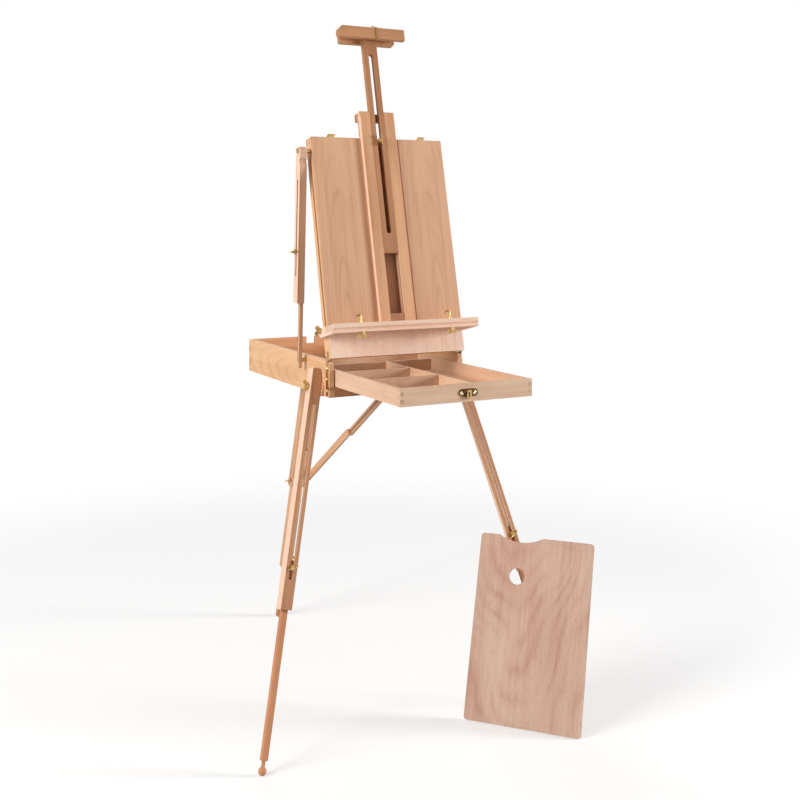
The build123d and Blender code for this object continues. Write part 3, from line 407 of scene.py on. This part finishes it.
def newPiece(name, bm, mat, body, edge, smooth=False):
    rims = [e for e in bm.edges if e.is_boundary]
    if rims:
        bmesh.ops.holes_fill(bm, edges=rims)
    bmesh.ops.recalc_face_normals(bm, faces=bm.faces)
    mesh = bpy.data.meshes.new(name)
    bm.to_mesh(mesh)
    bm.free()
    mesh.materials.append(mat)
    for polygon in mesh.polygons:
        polygon.use_smooth = smooth
    made = bpy.data.objects.new(name, mesh)
    scene.collection.objects.link(made)
    roundEdges(made, edge)
    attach(made, body)
    return made


def addRod(bm, place, radius, length, sides=28):
    turn = Matrix.Rotation(math.pi / 2, 4, "Y")
    bmesh.ops.create_cone(bm, cap_ends=True, segments=sides, radius1=radius, radius2=radius, depth=length,
                          matrix=Matrix.Translation(place) @ turn)


def addBlock(bm, place, size):
    made = bmesh.ops.create_cube(bm, size=1.0)["verts"]
    bmesh.ops.scale(bm, vec=size, verts=made)
    bmesh.ops.translate(bm, vec=place, verts=made)


def addDome(bm, place, radius, squash, around, rings):
    made = bmesh.ops.create_uvsphere(bm, u_segments=around, v_segments=rings, radius=radius)["verts"]
    bmesh.ops.scale(bm, vec=squash, verts=made)
    bmesh.ops.translate(bm, vec=place, verts=made)


# latch on the drawer front, in metres from the hook's pivot
latch = {"end": 0.0088, "reach": 0.0160, "thick": 0.0013, "rim": 0.0016, "sunk": 0.0005, "sides": 40,
         "plateBack": 0.0046, "plateDrop": 0.0035, "ear": 0.0030, "earAt": 0.0111, "earWide": 0.003,
         "earFoot": (0.003, 0.0036, 0.0060), "earSet": 0.0004, "pin": 0.0012, "pinLength": 0.026,
         "edge": 0.0002}
pivot = Vector(joints["latch_turn"]["pos_m"])
plateAt = pivot + Vector((0, latch["plateBack"], -latch["plateDrop"]))
bm = bmesh.new()
upright = Matrix.Rotation(math.pi / 2, 4, "X") @ Matrix.Rotation(math.pi / latch["sides"], 4, "Z")
bmesh.ops.create_circle(bm, cap_ends=True, radius=latch["end"], segments=latch["sides"], matrix=upright)
for v in bm.verts:
    v.co.x += math.copysign(latch["reach"], v.co.x)
grown = bmesh.ops.extrude_face_region(bm, geom=bm.faces[:])["geom"]
front = [f for f in grown if isinstance(f, bmesh.types.BMFace)]
corners = [v for v in grown if isinstance(v, bmesh.types.BMVert)]
bmesh.ops.translate(bm, vec=(0, -latch["thick"], 0), verts=corners)
bmesh.ops.inset_region(bm, faces=front, thickness=latch["rim"], depth=-latch["sunk"])
bmesh.ops.translate(bm, vec=plateAt, verts=bm.verts)
for side in (-1, 1):
    ear = pivot + Vector((side * latch["earAt"], 0, 0))
    addRod(bm, ear, latch["ear"], latch["earWide"])
    addBlock(bm, ear + Vector((0, latch["plateBack"] / 2 - latch["earSet"], 0)), latch["earFoot"])
addRod(bm, pivot, latch["pin"], latch["pinLength"])
face = newPiece("latch_face", bm, bronze, "drawer", latch["edge"])
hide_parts("latch_plate")

screw = {"radius": 0.0043, "dome": 0.36, "proud": 0.0004, "around": 24, "rings": 14, "edge": 0.0001}
bm = bmesh.new()
for side in (-1, 1):
    place = plateAt + Vector((side * latch["reach"], screw["proud"] - latch["thick"], 0))
    addDome(bm, place, screw["radius"], (1, screw["dome"], 1), screw["around"], screw["rings"])
newPiece("latch_screws", bm, polished, "drawer", screw["edge"], smooth=True)

hook = {"barrel": 0.0030, "width": 0.0124, "curl": 0.0021, "curlOut": 0.0003, "fall": 0.0145, "barAt": 0.0037,
        "barOut": 0.0001, "bar": 0.0046, "barThick": 0.0024, "edge": 0.0005}
bm = bmesh.new()
addRod(bm, pivot, hook["barrel"], hook["width"])
addRod(bm, pivot + Vector((0, -hook["curlOut"], -hook["fall"])), hook["curl"], hook["width"])
for side in (-1, 1):
    middle = pivot + Vector((side * hook["barAt"], -hook["barOut"], -hook["fall"] / 2))
    addBlock(bm, middle, (hook["bar"], hook["barThick"], hook["fall"]))
hasp = newPiece("latch_hasp", bm, brass, "latch", hook["edge"])
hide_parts("latch_hook")
print("stage latch")

# domed screw heads on the two hinge straps, one at each height and one at the pivot
strapHead = {"radius": 0.0038, "dome": 0.5, "heights": (0.8186, 0.8470, 0.8730), "inside": 0.0012,
             "around": 20, "rings": 12, "edge": 0.0001}
hinge = Vector(joints["lid_hinge"]["pos_m"])
low, high = (Vector(v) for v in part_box("hinge_straps"))
bm = bmesh.new()
for x in (low.x + strapHead["inside"], high.x - strapHead["inside"]):
    for z in (*strapHead["heights"], hinge.z):
        addDome(bm, (x, hinge.y, z), strapHead["radius"], (strapHead["dome"], 1, 1), strapHead["around"],
                strapHead["rings"])
newPiece("strap_screw_heads", bm, polished, "box", strapHead["edge"], smooth=True)
print("stage strap heads")

# camera, with its focal length and vertical shift in pixels of the picture
view = {"place": (-1.31604, -2.74159, 1.2388), "turn": -27.61, "pixels": 800, "focal": 1137.45,
        "shift": -182.7, "sensor": 36.0, "far": 60}
cam = bpy.data.objects.new("camera", bpy.data.cameras.new("camera"))
scene.collection.objects.link(cam)
scene.camera = cam
cam.location = view["place"]
cam.rotation_euler = (math.radians(90), 0, math.radians(view["turn"]))
cam.data.sensor_width = view["sensor"]
cam.data.lens = view["focal"] / view["pixels"] * view["sensor"]
cam.data.shift_y = view["shift"] / view["pixels"]
cam.data.clip_end = view["far"]


def shownDirectly(g):
    camera, glossy, through = (g.node("ShaderNodeLightPath", out="Is " + ray + " Ray")
                               for ray in ("Camera", "Glossy", "Transmission"))
    return (camera + glossy + through).above(0.0, 1.0)


def grey(value):
    return (value, value, value, 1.0)


# floor: catches shadows near the easel and fades to white away from it
floorLook = {"half": 30, "below": 0.0005, "near": 1.5, "far": 2.6, "paint": 0.64, "glow": 0.43, "plain": 0.62}
floorMesh = bpy.data.meshes.new("floor")
bm = bmesh.new()
bmesh.ops.create_grid(bm, x_segments=1, y_segments=1, size=floorLook["half"])
bm.to_mesh(floorMesh)
bm.free()
floor = bpy.data.objects.new("floor", floorMesh)
floor.location = (0, 0, -floorLook["below"])
scene.collection.objects.link(floor)
g = Graph(bpy.data.materials.new("floorWhite"))
place = g.node("ShaderNodeTexCoord", out="Object")
distance = g.node("ShaderNodeVectorMath", [place], out="Value", operation="LENGTH")
fade = distance.above(floorLook["near"], floorLook["far"])
paint = g.node("ShaderNodeBsdfDiffuse", {"Color": grey(floorLook["paint"])})
glow = g.node("ShaderNodeEmission", {"Color": grey(1.0), "Strength": floorLook["glow"]})
white = g.node("ShaderNodeEmission", {"Color": grey(1.0), "Strength": 1.0})
plain = g.node("ShaderNodeBsdfDiffuse", {"Color": grey(floorLook["plain"])})
near = g.node("ShaderNodeAddShader", [paint, glow])
seen = g.node("ShaderNodeMixShader", [fade, near, white])
floorMesh.materials.append(g.close(g.node("ShaderNodeMixShader", [shownDirectly(g), plain, seen])))
floor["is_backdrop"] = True

# world: white where it is seen, and a dim even light everywhere else
worldLook = {"tint": (0.98, 0.985, 1.0), "strength": 0.26}
world = bpy.data.worlds.new("world")
scene.world = world
g = Graph(world)
given = g.node("ShaderNodeBackground", {"Color": rgba(worldLook["tint"]), "Strength": worldLook["strength"]})
white = g.node("ShaderNodeBackground", {"Color": grey(1.0), "Strength": 1.0})
g.close(g.node("ShaderNodeMixShader", [shownDirectly(g), given, white]), "ShaderNodeOutputWorld")

# soft lights, all aimed at the middle of the easel
middle = Vector((0, 0, 0.8))
lamps = {
    "key": {"place": (-4.5, -0.95, 2.7), "size": 2.4, "energy": 190, "color": (1.0, 0.985, 0.96)},
    "right": {"place": (4.4, -2.5, 1.9), "size": 1.2, "energy": 190, "color": (1.0, 0.995, 0.985)},
    "back": {"place": (0.9, 4.6, 3.0), "size": 3.0, "energy": 40, "color": (1.0, 1.0, 1.0)},
}
for name, lamp in lamps.items():
    data = bpy.data.lights.new(name, "AREA")
    data.size = lamp["size"]
    data.energy = lamp["energy"]
    data.color = lamp["color"]
    made = bpy.data.objects.new(name, data)
    made.location = lamp["place"]
    made.rotation_euler = (middle - Vector(lamp["place"])).to_track_quat("-Z", "Y").to_euler()
    scene.collection.objects.link(made)
print("stage light")

scene.view_settings.view_transform = "Standard"
low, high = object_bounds()
